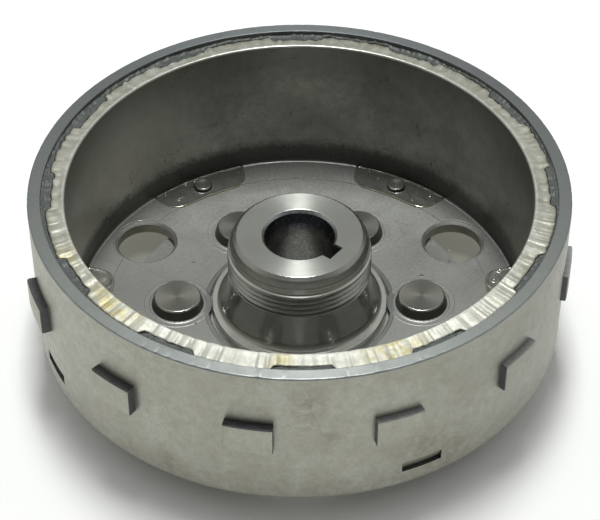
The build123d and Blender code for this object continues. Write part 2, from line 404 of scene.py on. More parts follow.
def wall_steel():
    """Outside of the cup: drawn steel, ground, with faint brown stains and streaks, and painted shade that
    darkens it towards its foot and its right side.
    """
    s = Surface("wall_steel", Metallic=0.85)
    height, heading = s.height(), s.heading()
    blotch = s.noise(14, 4, 0.55, warp=0.6)
    fine = s.noise(2.2, 4, 0.6)
    colour = s.blend(s.span(blotch, 0.35, 0.7), (0.46, 0.46, 0.405), (0.38, 0.375, 0.32))
    colour = s.blend(s.span(fine, 0.3, 0.75, 0, 0.45), colour, (0.32, 0.315, 0.26))
    colour = s.blend(s.span(s.noise(0.8, 3, 0.6), 0.45, 0.7, 0, 0.35), colour, (0.27, 0.265, 0.22))
    brown = s.span(s.noise(9, 5, 0.65, warp=1.2), 0.6, 0.78, 0, 0.5)
    colour = s.blend(brown, colour, (0.36, 0.31, 0.21))
    # painted shade: blotchy darkening towards the foot of the wall
    low = s.span(height, FLOOR * MM, (FLOOR + 9) * MM, 1, 0)
    low = s.calc("MULTIPLY", low, s.span(fine, 0.3, 0.6, 0.1, 0.5))
    colour = s.blend(low, colour, (0.28, 0.27, 0.225))
    # painted shade: darker towards the right side (+X)
    right = s.span(s.part(heading, 0), 0.25, 0.8, 0, 0.5)
    colour = s.blend(right, colour, (0.26, 0.26, 0.23))
    raised = s.join(0.0, 0.0, s.calc("MULTIPLY", height, STAIN_STRETCH))
    spot = s.vector("ADD", heading, raised)[0]
    for angle, level, reach, strength in WALL_STAINS:
        middle = (*on_circle(1.0, angle), STAIN_STRETCH * level * MM)
        here = s.span(s.distance(spot, middle), reach * 1.6, 0.0, 0, strength)
        patch = s.calc("MULTIPLY", here, s.span(s.noise(2.5, 5, 0.65, warp=1.0), 0.35, 0.6))
        colour = s.blend(patch, colour, (0.2, 0.18, 0.13))
    specks = s.span(s.noise(0.9, 2, 0.5), 0.74, 0.77, 0, 0.6)
    colour = s.blend(specks, colour, (0.12, 0.11, 0.09))
    around = s.join(s.calc("MULTIPLY", height, 9.0), 0.0, 0.0)
    grain = s.noise(1.6, 2, 0.5, place=around)
    s.turned(0.35)
    return s.done(colour, s.span(fine, 0.25, 0.8, 0.38, 0.52), s.bump(fine, 0.02, s.bump(grain, 0.012)))


def rim_steel():
    """The cup's rim: faced off, then dulled, bluish, with painted shade that darkens it towards the back."""
    s = Surface("rim_steel", Metallic=0.9)
    # painted shade: the back of the rim (+Y) is painted darker
    back = s.span(s.part(s.heading(), 1), -0.5, 0.7)
    rings = s.noise(0.5, 3, 0.7, place=s.join(s.radius(), 0.0, 0.0))
    blotch = s.noise(5, 5, 0.6)
    colour = s.blend(s.span(blotch, 0.3, 0.7), (0.33, 0.35, 0.345), (0.27, 0.285, 0.28))
    colour = s.blend(s.span(s.noise(0.7, 3, 0.6), 0.62, 0.75, 0, 0.5), colour, (0.2, 0.21, 0.22))
    colour = s.blend(s.calc("MULTIPLY", back, 0.85), colour, (0.14, 0.15, 0.16))
    s.turned(0.45)
    return s.done(colour, s.span(blotch, 0.3, 0.7, 0.42, 0.52),
                  s.bump(rings, 0.006, s.bump(s.noise(0.9, 4, 0.6), 0.02)))


def scale_steel():
    """Unmachined edges of the pads and stakes: dark scale."""
    s = Surface("scale_steel", Metallic=0.6)
    fine = s.noise(0.8, 4, 0.6)
    colour = s.blend(s.span(fine, 0.3, 0.7), (0.085, 0.09, 0.093), (0.15, 0.155, 0.16))
    return s.done(colour, s.span(fine, 0.3, 0.7, 0.4, 0.6), s.bump(fine, 0.05))


def plate_steel(name="plate_steel", shade=1.0):
    """The plate and both flanges beside it: dull plated grey with faint clouds and specks, painted lighter
    towards the right and the back as painted light.
    """
    s = Surface(name)
    cloud = s.noise(11, 5, 0.6, warp=0.8)
    fine = s.noise(0.9, 4, 0.65)
    light = tuple(shade * c for c in (0.345, 0.345, 0.33))
    dark = tuple(shade * c for c in (0.265, 0.265, 0.25))
    colour = s.blend(s.span(cloud, 0.3, 0.7), light, dark)
    colour = s.blend(s.span(fine, 0.6, 0.8, 0, 0.4), colour, (0.16, 0.16, 0.15))
    wisp = s.span(s.noise(3.5, 5, 0.7, warp=1.5), 0.63, 0.75, 0, 0.35)
    colour = s.blend(wisp, colour, (0.42, 0.42, 0.4))
    x, y = s.part(s.place, 0), s.part(s.place, 1)
    # painted light: lighter towards the right (+X) and much lighter towards the back (+Y)
    colour = s.blend(s.span(x, 10 * MM, 45 * MM, 0, 0.2), colour, (0.52, 0.52, 0.5))
    colour = s.blend(s.span(y, 5 * MM, 38 * MM, 0, 0.8), colour, (0.56, 0.56, 0.53))
    mottle = s.noise(0.7, 3, 0.6)
    colour = s.blend(s.span(mottle, 0.35, 0.65, 0, 0.35), colour, (0.2, 0.205, 0.19))
    s.put("Metallic", s.span(y, 5 * MM, 35 * MM, 0.85, 0.66))
    return s.done(colour, s.span(cloud, 0.3, 0.7, 0.36, 0.48), s.bump(mottle, 0.012))


def turned_steel(name, light, dark, rough, amount, depth=0.006, rotation=0.25):
    """Lathe-turned steel: rings round the piece's own axis."""
    s = Surface(name, Metallic=0.95)
    rings = s.noise(0.35, 3, 0.75, place=s.join(s.radius(), 0.0, s.height()))
    cloud = s.noise(6, 4, 0.6)
    colour = s.blend(s.span(cloud, 0.3, 0.7), light, dark)
    colour = s.blend(s.span(rings, 0.35, 0.75, 0, 0.4), colour, dark)
    s.turned(amount, rotation)
    return s.done(colour, s.span(cloud, 0.3, 0.7, *rough), s.bump(rings, depth))


def hub_side_steel():
    """The hub's side: bright plain band, a darker thread below it, and a rounding above painted darker as
    painted shade.
    """
    s = Surface("hub_side", Metallic=0.95)
    height = s.height()
    rings = s.noise(0.35, 3, 0.75, place=s.join(s.radius(), 0.0, height))
    cloud = s.noise(6, 4, 0.6)
    colour = s.blend(s.span(cloud, 0.3, 0.7), (0.85, 0.85, 0.81), (0.7, 0.7, 0.66))
    colour = s.blend(s.span(rings, 0.35, 0.75, 0, 0.4), colour, (0.6, 0.6, 0.57))
    thread = s.calc("MULTIPLY", s.span(height, (THREAD_BOTTOM - 3) * MM, (THREAD_BOTTOM - 0.4) * MM),
                    s.span(height, (THREAD_TOP + 0.3) * MM, (THREAD_TOP + 0.1) * MM))
    colour = s.blend(thread, colour, (0.52, 0.52, 0.49))
    # painted shade: the rounding up to the top face is painted darker
    top = s.span(height, (HUB_TOP - 2.2) * MM, (HUB_TOP - 1.0) * MM, 0, 0.9)
    colour = s.blend(top, colour, (0.42, 0.42, 0.39))
    s.turned(0.5)
    return s.done(colour, s.span(rings, 0.3, 0.7, 0.2, 0.3), s.bump(rings, 0.006))


def bore_steel():
    """The hub's bore: dark at the small end from painted shade, greyer below."""
    s = Surface("hub_bore", Metallic=0.95)
    height = s.height()
    cloud = s.noise(3, 5, 0.65, warp=0.8)
    fine = s.noise(0.7, 3, 0.6)
    # painted shade: dark colour over the upper, small end of the bore, with a ragged lower edge
    level = s.calc("ADD", height, s.calc("MULTIPLY", s.calc("SUBTRACT", cloud, 0.5), 5 * MM))
    painted_shade_mouth = s.span(level, (HUB_TOP - 7.5) * MM, (HUB_TOP - 4.2) * MM)
    colour = s.blend(s.span(cloud, 0.3, 0.7), (0.3, 0.3, 0.275), (0.2, 0.2, 0.18))
    painted_shade_mouth_colour = s.blend(s.span(fine, 0.3, 0.7), (0.11, 0.115, 0.14), (0.06, 0.065, 0.08))
    colour = s.blend(painted_shade_mouth, colour, painted_shade_mouth_colour)
    edge = s.span(height, (HUB_TOP - 0.9) * MM, (HUB_TOP - 0.6) * MM)
    colour = s.blend(edge, colour, (0.5, 0.51, 0.52))
    s.turned(0.3)
    return s.done(colour, s.span(fine, 0.3, 0.7, 0.22, 0.4), s.bump(fine, 0.01))


def sleeve_wall_steel():
    """Inside of the magnet sleeve: thin dark steel, sooty near its foot, with painted light on its left side
    and painted shade on its right side and under the rolled edge.
    """
    s = Surface("sleeve_wall", Metallic=0.85)
    height, side = s.height(), s.part(s.heading(), 0)
    cloud = s.noise(16, 4, 0.55, warp=0.7)
    smudge = s.noise(4.5, 6, 0.7, warp=1.4)
    grain = s.noise(0.8, 3, 0.7)
    ragged = s.calc("ADD", s.calc("MULTIPLY", smudge, 4 * MM), s.calc("MULTIPLY", grain, 5 * MM))
    edge = s.calc("SUBTRACT", s.calc("ADD", height, ragged), 4.5 * MM)
    band = s.span(edge, (FLOOR + 4.9) * MM, (FLOOR + 7.9) * MM, 1, 0)
    spots = s.calc("MULTIPLY", s.span(s.noise(1.8, 5, 0.7, warp=1.2), 0.6, 0.66),
                   s.span(height, (FLOOR + 20) * MM, (FLOOR + 8) * MM, 0.12, 0.9))
    colour = s.blend(s.span(cloud, 0.3, 0.7), (0.42, 0.415, 0.385), (0.3, 0.295, 0.27))
    colour = s.blend(s.span(s.noise(3.2, 6, 0.72), 0.4, 0.66, 0, 0.42), colour, (0.17, 0.168, 0.15))
    colour = s.blend(s.span(smudge, 0.6, 0.7, 0, 0.65), colour, (0.07, 0.07, 0.065))
    # painted light on the left side (-X), painted shade on the right side (+X)
    colour = s.blend(s.span(side, -0.3, -0.9, 0, 0.6), colour, (0.62, 0.61, 0.56))
    colour = s.blend(s.span(side, 0.4, 0.95, 0, 0.45), colour, (0.24, 0.235, 0.21))
    # painted shade under the rolled edge, darker towards the top
    under = s.span(height, (SLEEVE_TOP - 12) * MM, (SLEEVE_TOP - 1) * MM, 0, 0.6)
    colour = s.blend(under, colour, (0.2, 0.197, 0.18))
    colour = s.blend(spots, colour, (0.06, 0.06, 0.055))
    colour = s.blend(s.calc("MULTIPLY", band, 0.8), colour, (0.06, 0.06, 0.058))
    s.turned(0.3)
    return s.done(colour, s.span(cloud, 0.3, 0.7, 0.3, 0.42), s.bump(s.noise(1.2, 3, 0.6), 0.006))


def sleeve_lip_steel():
    """The sleeve's ribbed top flange: bright, cream-stained metal, with painted light at the front and
    painted shade in its low parts.
    """
    s = Surface("sleeve_lip", Metallic=0.5)
    heading = s.heading()
    fine = s.noise(1.0, 5, 0.65)
    puff = s.noise(2.6, 3, 0.55, warp=0.5)
    colour = s.blend(s.span(puff, 0.35, 0.65), (0.62, 0.62, 0.57), (0.4, 0.4, 0.34))
    colour = s.blend(s.span(fine, 0.35, 0.75, 0, 0.6), colour, (0.34, 0.34, 0.28))
    # painted shade: darker where the flange lies low, in the creases and towards its sagging edge
    low = s.span(s.height(), (SLEEVE_TOP - 0.9) * MM, (SLEEVE_TOP - 0.35) * MM, 0.75, 0)
    colour = s.blend(low, colour, (0.3, 0.29, 0.22))
    # painted light: the front of the flange (-Y) is painted lighter; it is also rougher there
    front = s.span(s.part(heading, 1), -0.45, -0.85)
    colour = s.blend(s.calc("MULTIPLY", front, 0.4), colour, (0.86, 0.86, 0.8))
    for angle, reach, strength in LIP_STAINS:
        close = s.distance(heading, (*on_circle(1.0, angle), 0.0))
        here = s.span(close, radians(reach), 0.0, 0, strength)
        patch = s.calc("MULTIPLY", here, s.span(s.noise(2.2, 4, 0.6, warp=1.0), 0.4, 0.58))
        colour = s.blend(patch, colour, (0.5, 0.44, 0.2))
    return s.done(colour, s.calc("ADD", s.span(fine, 0.3, 0.7, 0.42, 0.52), s.calc("MULTIPLY", front, 0.1)),
                  s.bump(fine, 0.05, s.bump(puff, 0.12)))


def potting_resin():
    """Dark cast resin with dust and tiny bubbles."""
    s = Surface("potting", Metallic=0.0)
    fine = s.noise(0.9, 4, 0.6)
    dust = s.span(s.noise(0.6, 2, 0.5), 0.7, 0.76, 0, 0.6)
    colour = s.blend(s.span(fine, 0.3, 0.7), (0.065, 0.072, 0.074), (0.12, 0.13, 0.122))
    s.put("Specular IOR Level", 0.35)
    return s.done(s.blend(dust, colour, (0.4, 0.42, 0.44)), s.span(fine, 0.3, 0.7, 0.3, 0.55),
                  s.bump(fine, 0.1, s.bump(s.noise(2.5, 3, 0.5), 0.25)))


def clear_resin():
    """Clear resin over the dull plate: a little darker than the plate, glossy, with small bubbles."""
    s = Surface("clear_resin", Metallic=0.6)
    cloud = s.noise(4, 4, 0.6, warp=1.0)
    s.put("Coat Weight", 0.9)
    s.put("Coat Roughness", 0.05)
    cells = s.node("ShaderNodeTexVoronoi", {"Vector": s.place, "Scale": 1 / (2.6 * MM)}).outputs["Distance"]
    bubble = s.calc("MULTIPLY", s.span(cells, 0.12, 0.2, 0, 1), s.span(cells, 0.2, 0.28, 1, 0))
    return s.done(s.blend(s.span(cloud, 0.3, 0.7), (0.37, 0.37, 0.34), (0.25, 0.25, 0.225)), 0.26,
                  s.bump(bubble, 0.08, s.bump(s.noise(2.0, 3, 0.5), 0.14)))


def dull(name, light, dark, rough, metallic=0.0, size=2.0, depth=0.03):
    """A plain mottled finish for the pieces inside."""
    s = Surface(name, Metallic=metallic)
    fine = s.noise(size, 4, 0.6)
    colour = s.blend(s.span(fine, 0.3, 0.7), light, dark)
    return s.done(colour, s.span(fine, 0.3, 0.7, rough - 0.08, rough + 0.08), s.bump(fine, depth))


# ---- pieces

RIM_DENTS = (           # angle, width in degrees and depth, beside the small random nicks
    (238, 0.3, 0.15), (241, 0.4, 0.2), (243.5, 0.25, 0.22), (252, 0.3, 0.15), (262, 0.5, 0.2),
)
PITS = ((30.7, 151, 0.4), (32.3, 18, 0.5), (43.0, 27, 0.35), (26.5, 196, 0.3))    # circle, angle, size


def cup_body():
    """The cup's plain turned shape with its nicked rim."""
    steps = 1080
    outline = eased([
        (REGISTER_RADIUS, FLANGE_TOP, 0.15),
        (CUP_RADIUS - 3.4, FLANGE_TOP, 1.4),
        (CUP_RADIUS, FLANGE_TOP + 3.4, 1.8),
        (CUP_RADIUS, RIM, 0.4),
        (POTTING_RADIUS, RIM, 0.25),
        (POTTING_RADIUS, FLOOR, 0.2),
        (POTTING_RADIUS - 1, FLOOR, 0),
        (RING_RADIUS + 0.6, FLOOR, 0),
        (RING_RADIUS + 0.05, FLOOR, 0.1),
        (RING_RADIUS - 0.05, FLOOR - 0.1, 0.05),
        (22.75, FLOOR - 0.1, 0.08),
        (REGISTER_RADIUS, FLOOR - 0.35, 0.08),
    ])
    angles = np.arange(steps) * 360 / steps
    radii, heights = repeated(outline, steps)
    nick = np.zeros(steps)
    count = 60
    middles, widths = chance.uniform(0, 360, count), chance.uniform(0.15, 0.4, count)
    depths = chance.uniform(0.03, 0.1, count)
    for middle, wide, deep in [*zip(middles, widths, depths), *RIM_DENTS]:
        away = (angles - middle + 180) % 360 - 180
        nick += deep * np.exp(-(away / wide) ** 2)
    nick += 0.006 * (1 + ripple(angles, 20, 160, 24)) ** 2
    edge = step_up(CUP_RADIUS - 0.5, CUP_RADIUS - 0.05, radii) * step_up(RIM - 1.0, RIM - 0.15, heights)
    radii = radii - 0.55 * nick[:, None] * edge
    heights = heights - 0.6 * nick[:, None] * edge
    return piece("yoke_cup_shell", *spun(radii, heights, angles))


def pads():
    """Eleven timing pads with rounded edges; the ones on the right stand less proud."""
    outline = eased([
        (CUP_RADIUS - 1, PAD_BOTTOM, 0),
        (PAD_FACE, PAD_BOTTOM, 0.35),
        (PAD_FACE, PAD_TOP, 0.35),
        (CUP_RADIUS - 1, PAD_TOP, 0),
    ])
    ends = np.array([0.0, 0.02, 0.07, 0.16, 0.3])
    middle = np.linspace(-PAD_HALF + 0.7, PAD_HALF - 0.7, 17)
    across = np.concatenate([-PAD_HALF + ends, middle, (PAD_HALF - ends)[::-1]])
    into_end = 1 - np.clip((PAD_HALF - abs(across)) / 0.3, 0, 1)
    rounding = 0.33 * (1 - np.sqrt(1 - into_end ** 2))
    radii, heights = repeated(outline, len(across))
    outward = step_up(CUP_RADIUS + 1.2, PAD_FACE, radii)
    made = []
    for angle in range(20, 380, 30):
        if angle == 110:
            continue
        inset = rounding + PAD_INSET.get(angle, 0.0)
        made.append(spun(radii - inset[:, None] * outward, heights, angle + across, False))
    return made


def stakes():
    """Four notches, deepest at their foot, pressed into the wall."""
    count = 10
    across = np.linspace(-STAKE_HALF, STAKE_HALF, count)
    outline = [(CUP_RADIUS - 1.1, STAKE_BOTTOM), (CUP_RADIUS + 1, STAKE_BOTTOM),
               (CUP_RADIUS + 1, STAKE_TOP), (CUP_RADIUS + 0.02, STAKE_TOP)]
    return [spun(*repeated(outline, count), STAKE_ANGLE + 90 * k + across, False) for k in range(4)]


def cup(resin):
    """The steel cup, with pads, stakes, holes and a worn rim; resin wets its wall inside."""
    body = cup_body()
    combine(body, pads(), "UNION")
    combine(body, stakes(), "DIFFERENCE")

    rings = []
    for k in range(6):
        ring = eased([
            (6.0, FLOOR - 0.4, 0),
            (8.6, FLOOR - 0.4, 0),
            (8.5, FLOOR - 0.01, 0),
            (8.25, FLOOR + 0.035, 0.1),
            (8.0, FLOOR + 0.01, 0.1),
            (7.15, FLOOR + 0.01, 0.05),
            (6.95, FLOOR + 0.07, 0.08),
            (6.0, FLOOR + 0.07, 0),
        ], 3)
        rings.append(lathe(ring, 72, rivet_place(k), 7 * k))
    combine(body, rings, "UNION")

    cuts = []
    for radius, angle, wide in PITS:
        pit = [(0, FLOOR - 0.35), (0.6 * wide, FLOOR - 0.3), (wide, FLOOR + 0.01),
               (1.5 * wide, FLOOR + 0.4), (0, FLOOR + 0.4)]
        cuts.append(lathe(pit, 16, on_circle(radius, angle)))
    for k in range(3):
        hole = eased([
            (0, FLANGE_TOP - 1, 0),
            (HOLE_RADIUS + 0.5, FLANGE_TOP - 1, 0),
            (HOLE_RADIUS, FLANGE_TOP + 0.5, 0.2),
            (HOLE_RADIUS, FLOOR - 0.55, 0.15),
            (HOLE_RADIUS + 0.75, FLOOR, 0.15),
            (HOLE_RADIUS + 2.2, FLOOR + 1, 0),
            (0, FLOOR + 1, 0),
        ])
        cuts.append(lathe(hole, 128, hole_place(k)))
    for k in range(6):
        cuts.append(rod(SHANK_RADIUS, FLANGE_TOP - 1, FLOOR + 1, 48, rivet_place(k)))
        cuts.append(rod(STUD_RADIUS, FLANGE_TOP - 1, FLOOR + 1, 48, stud_place(k)))
    combine(body, cuts, "DIFFERENCE")

    # the stakes' slanted faces meet the wall at 21 degrees and must not be shaded into it
    finish_piece(body, "cup_steel", ["yoke_cup"], 20)

    def finish_of(centre, radius, normal):
        outward = (centre.x * normal.x + centre.y * normal.y) / radius
        if radius > CUP_RADIUS + 0.12 and outward < 0.72 and centre.z < RIM - 3:
            # painted light: the level tops of the pads on the right (+X) get the lighter finish
            return "worn" if normal.z > 0.5 and centre.x > 15 else "scale"
        if radius > CUP_RADIUS - 1.3 and STAKE_BOTTOM - 0.2 < centre.z < STAKE_TOP + 0.1 and outward < 0.8:
            return "scale"
        if abs(radius - POTTING_RADIUS) < 0.1 and RIM - 0.3 > centre.z > FLOOR + 2:
            return "resin"
        if centre.z > RIM - 0.45:
            return "rim"
        if RING_RADIUS < radius < POTTING_RADIUS + 0.1 and centre.z > FLOOR - 1.2:
            return "plate"
        if radius < RING_RADIUS and centre.z > FLANGE_TOP + 1:
            return "ring"
        return "wall"

    dress(body, {
        "wall": wall_steel(),
        "rim": rim_steel(),
        "scale": scale_steel(),
        "plate": plate_steel(),
        "ring": turned_steel("spigot_ring", (0.52, 0.54, 0.53), (0.38, 0.4, 0.39), (0.26, 0.4), 0.75),
        # painted light: the lighter finish on the right pads' tops
        "worn": dull("pad_top_painted_light", (0.62, 0.65, 0.68), (0.42, 0.44, 0.46), 0.38, 0.8, 0.8),
        "resin": resin,
    }, finish_of)


def hub_outline():
    """The hub's outline from the bore's rear edge, round the outside, and back down the bore."""
    # the flare is a cubic curve from the foot's edge up to the thread's lower end
    a, b = Vector((FOOT_RADIUS, FOOT)), Vector((18.75, FOOT + 0.25))
    c, d = Vector((17.9, FOOT + 3.3)), Vector((NECK_RADIUS, THREAD_BOTTOM - 0.25))
    flare = []
    for t in np.linspace(0, 1, 30):
        u = 1 - t
        flare.append(tuple(a * u ** 3 + 3 * b * t * u ** 2 + 3 * c * t * t * u + d * t ** 3))
    back = eased([
        (BORE_REAR + 0.6, 0.0, 0.1),
        (FLANGE_RADIUS - 0.6, 0.0, 0.3),
        (FLANGE_RADIUS, 0.6, 0.3),
        (FLANGE_RADIUS, FLANGE_TOP, 0.15),
        (REGISTER_RADIUS, FLANGE_TOP, 0.1),
        (REGISTER_RADIUS, FLOOR - 1.3, 0.15),
        (LAND_RADIUS, FLOOR - 1.3, 0.1),
        (LAND_RADIUS, FOOT, 0.18),
        (FOOT_RADIUS + 0.12, FOOT, 0.05),
        (FOOT_RADIUS, FOOT, 0),
    ])
    thread = between((NECK_RADIUS, THREAD_BOTTOM - 0.25), (NECK_RADIUS, THREAD_BOTTOM - 0.05), 2)
    thread += between((THREAD_RADIUS, THREAD_BOTTOM), (THREAD_RADIUS, THREAD_TOP + 0.1), 96)
    nose = eased([
        (THREAD_RADIUS, THREAD_TOP + 0.25, 0.1),
        (RELIEF_RADIUS, THREAD_TOP + 0.58, 0.06),
        (RELIEF_RADIUS, THREAD_TOP + 0.75, 0.05),
        (RELIEF_RADIUS + 0.27, THREAD_TOP + 0.9, 0.06),
        (NECK_RADIUS, THREAD_TOP + 2.7, 1.4),
        (16.2, HUB_TOP - 0.75, 1.6),
        (15.2, HUB_TOP, 0.25),
        (14.9, HUB_TOP, 0),
        (BORE_RADIUS + 1.1, HUB_TOP, 0),
        (BORE_RADIUS + 0.7, HUB_TOP, 0.3),
        (BORE_RADIUS, HUB_TOP - 0.75, 0.5),
        (BORE_RADIUS, HUB_TOP - 4, 0.1),
        (BORE_REAR, 0.8, 0.1),
        (BORE_REAR + 0.6, 0.0, 0.1),
    ])
    return back[:-1] + flare[:-1] + thread + nose


def keyway():
    """A bar with three levels of four corners, whose outer side follows the bore's cone."""
    half = KEY_WIDTH / 2
    wide, narrow = BORE_REAR + 0.1 + KEY_DEPTH, BORE_RADIUS + KEY_DEPTH
    corners = []
    for r, z in ((wide, -1.0), (narrow, HUB_TOP - 4), (narrow, HUB_TOP + 1)):
        corners += [(4, -half, z), (r, -half, z), (r, half, z), (4, half, z)]
    sides = [[0, 3, 2, 1], [8, 9, 10, 11]]
    for level in (0, 4):
        sides += [[level + k, level + (k + 1) % 4, level + (k + 1) % 4 + 4, level + k + 4] for k in range(4)]
    return turned_about(corners, KEY_ANGLE), sides


def hub():
    """The hub: helical thread, flared foot, flange behind the plate, taper bore and keyway."""
    steps = 384
    radii, heights = repeated(hub_outline(), steps)
    angles = np.arange(steps) * 360 / steps
    low, high = THREAD_BOTTOM, THREAD_TOP
    along = (heights - low) / THREAD_PITCH - angles[:, None] / 360
    within = (radii > THREAD_RADIUS - 0.01) & (heights > low - 0.01) & (heights < high + 0.01)
    notch = np.clip(1.12 - 2.5 * np.abs(along % 1 - 0.5), 0, 1)
    ends = step_up(low, low + 0.25, heights) * step_up(high, high - 0.3, heights)
    worn = 1 + 0.06 * ripple(angles, 3, 30, 12)[:, None]
    radii = np.where(within, radii - 0.9 * notch * ends * worn, radii)
    body = piece("hub_body", *spun(radii, heights, angles))
    combine(body, [keyway()], "DIFFERENCE")
    tail = [(0, -1), (6.5, -1), (5.6, 0), (SHANK_RADIUS, 1.8), (SHANK_RADIUS, FLOOR), (0, FLOOR)]
    combine(body, [lathe(tail, 64, rivet_place(k)) for k in range(6)], "DIFFERENCE")
    finish_piece(body, "hub_steel", ["hub"], 28)

    def finish_of(centre, radius, normal):
        inward = centre.x * normal.x + centre.y * normal.y < -1
        if centre.z < FLOOR - 1.4 and radius > 16:
            return "flange"
        if radius < 14.5 and (inward or centre.z < HUB_TOP - 0.15):
            return "bore"
        if centre.z > HUB_TOP - 0.15:
            return "face"
        if centre.z < THREAD_BOTTOM - 0.2 and radius < FOOT_RADIUS - 0.02:
            return "cone"
        return "side"

    dress(body, {
        "face": turned_steel("hub_face", (0.53, 0.54, 0.51), (0.45, 0.46, 0.43), (0.25, 0.32), 0.8, 0.002),
        "side": hub_side_steel(),
        "cone": turned_steel("hub_cone", (0.62, 0.62, 0.59), (0.48, 0.48, 0.45), (0.18, 0.28), 0.4, 0.003),
        "bore": bore_steel(),
        # painted shade: the hub's flange, lying under the plate, takes the plate's finish at 0.6 of its
        # colour
        "flange": plate_steel("flange_steel", 0.6),
    }, finish_of)


def rivets():
    """Six rivets, each turned about its own axis."""
    materials = {
        "top": turned_steel("rivet_top", (0.2, 0.197, 0.18), (0.155, 0.152, 0.137), (0.4, 0.5), 0.3,
                            rotation=0.0),
        "side": turned_steel("rivet_side", (0.2, 0.2, 0.18), (0.12, 0.12, 0.105), (0.3, 0.4), 0.3),
        # painted highlight: the rivet heads' rounded edge is painted much lighter than their tops
        "edge": turned_steel("rivet_edge_painted_highlight", (0.62, 0.62, 0.58), (0.5, 0.5, 0.46), (0.2, 0.3), 0.3),
    }
    outline = eased([
        (0, 0.25, 0),
        (5.3, 0.25, 0.2),
        (SHANK_RADIUS, 1.8, 0.3),
        (SHANK_RADIUS, FLOOR + 0.02, 0),
        (RIVET_BASE - 0.06, FLOOR + 0.02, 0),
        (RIVET_BASE - 0.06, FLOOR + 0.2, 0.1),
        (RIVET_HEAD, RIVET_TOP - 0.35, 0.15),
        (RIVET_HEAD - 0.32, RIVET_TOP, 0.25),
        (RIVET_HEAD - 0.7, RIVET_TOP - 0.02, 0.3),
        (0, RIVET_TOP - 0.1, 0),
    ])
    for k in range(6):
        place = rivet_place(k)
        verts, faces = lathe(outline, 144, place, 17 * k)
        rivet = piece(f"hub_rivet_{k + 1}", verts, faces, "rivet_steel", ["hub_rivets"], 28)

        def finish_of(centre, radius, normal):
            if centre.z < RIVET_TOP - 0.33:
                return "side"
            return "edge" if dist(centre[:2], place) > RIVET_HEAD - 0.55 else "top"

        dress(rivet, materials, finish_of)


def lobes(angles):
    """Radius of the sleeve's top flange: it has one wide lobe per pole, with wavy edges."""
    step = 360 / POLES
    within = np.abs((angles - FIRST_POLE) % step - step / 2)
    wide = step_up(9.0, 7.9, within + 0.3 * ripple(angles, 20, 70, 10))
    uneven = 0.1 * ripple(angles, 60, 200, 24) + 0.12 * ripple(angles, 8, 30, 10)
    offset = 0.3 * np.cos(np.radians(angles))
    return VALLEY_RADIUS + LOBE_HEIGHT * wide + 0.6 * uneven + offset


def pleats(angles):
    """Heights, 0 to 1, of the radial pleats that the flanging left: round backs and narrow creases."""
    spots = np.sort((np.arange(CREASES) + chance.uniform(-0.42, 0.42, CREASES)) * 360 / CREASES)
    spots = np.concatenate([spots[-2:] - 360, spots, spots[:2] + 360])
    tall = chance.uniform(0.3, 1.0, len(spots))
    which = np.searchsorted(spots, angles, side="right") - 1
    left, right = spots[which], spots[which + 1]
    share = (angles - left) / (right - left)
    swollen = 1 + 0.7 * np.exp(-((angles - 250) / 16) ** 2)
    return swollen * tall[which] * np.sin(pi * share)


